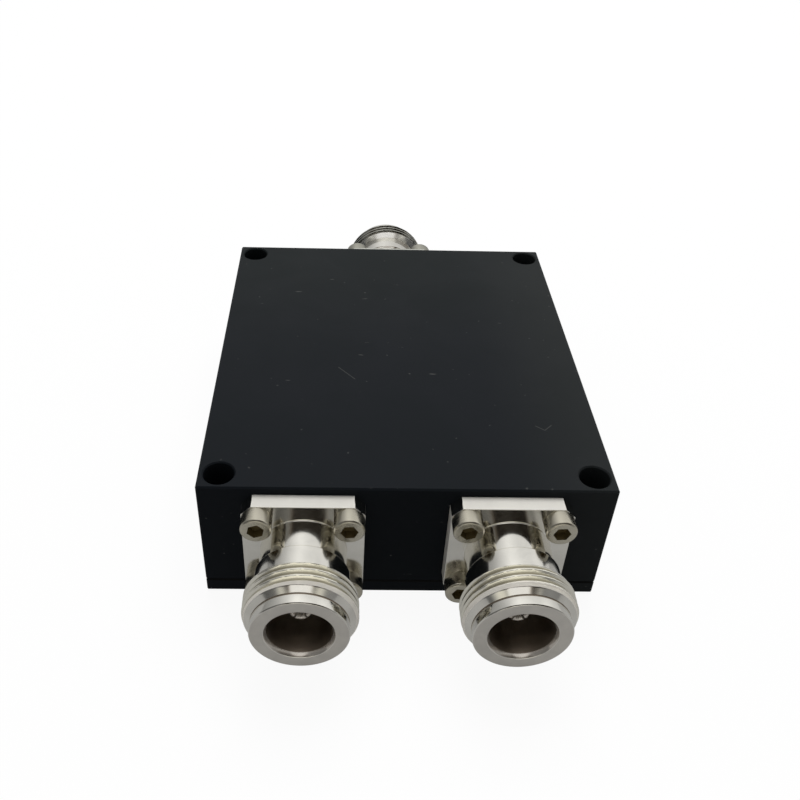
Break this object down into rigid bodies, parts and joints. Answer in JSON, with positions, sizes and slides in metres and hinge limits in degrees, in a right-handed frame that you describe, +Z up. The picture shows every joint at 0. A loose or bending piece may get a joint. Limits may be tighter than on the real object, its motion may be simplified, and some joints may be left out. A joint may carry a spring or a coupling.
{
  "type": "rf power splitter",
  "caption": "Flat black metal box that splits a coaxial feed into equal outputs, with flanged threaded jacks on its end faces and through holes at its corners.",
  "frame": {"origin": "centre of the underside of the cover, on the surface that the box stands on", "axes": "+X across the two outputs, +Y towards the input jack, +Z up out of the top face"},
  "size_m": [0.06, 0.1046, 0.022],
  "materials": {
    "black_anodised": "matt black anodised",
    "nickel_plate": "bright nickel plate",
    "screw_steel": "plain stainless",
    "insulator_white": "turned white plastic",
    "silver_plate": "silver plate",
    "board_laminate": "glass-fibre laminate",
    "copper": "printed copper",
    "chip_resistor": "glazed ceramic chip",
    "solder": "tin solder"
  },
  "bodies": {
    "root": {"housing": "black_anodised", "bottom_cover": "black_anodised", "cover_screws": "screw_steel", "circuit_board": "board_laminate", "divider_trace": "copper", "isolation_resistors": "chip_resistor", "board_screws": "screw_steel", "solder_joints": "solder", "input_connector_body": "nickel_plate", "input_insulator": "insulator_white", "input_center_contact": "silver_plate", "input_flange_screws": "screw_steel", "output_left_connector_body": "nickel_plate", "output_left_insulator": "insulator_white", "output_left_center_contact": "silver_plate", "output_left_flange_screws": "screw_steel", "output_right_connector_body": "nickel_plate", "output_right_insulator": "insulator_white", "output_right_center_contact": "silver_plate", "output_right_flange_screws": "screw_steel"}
  },
  "joints": []
}
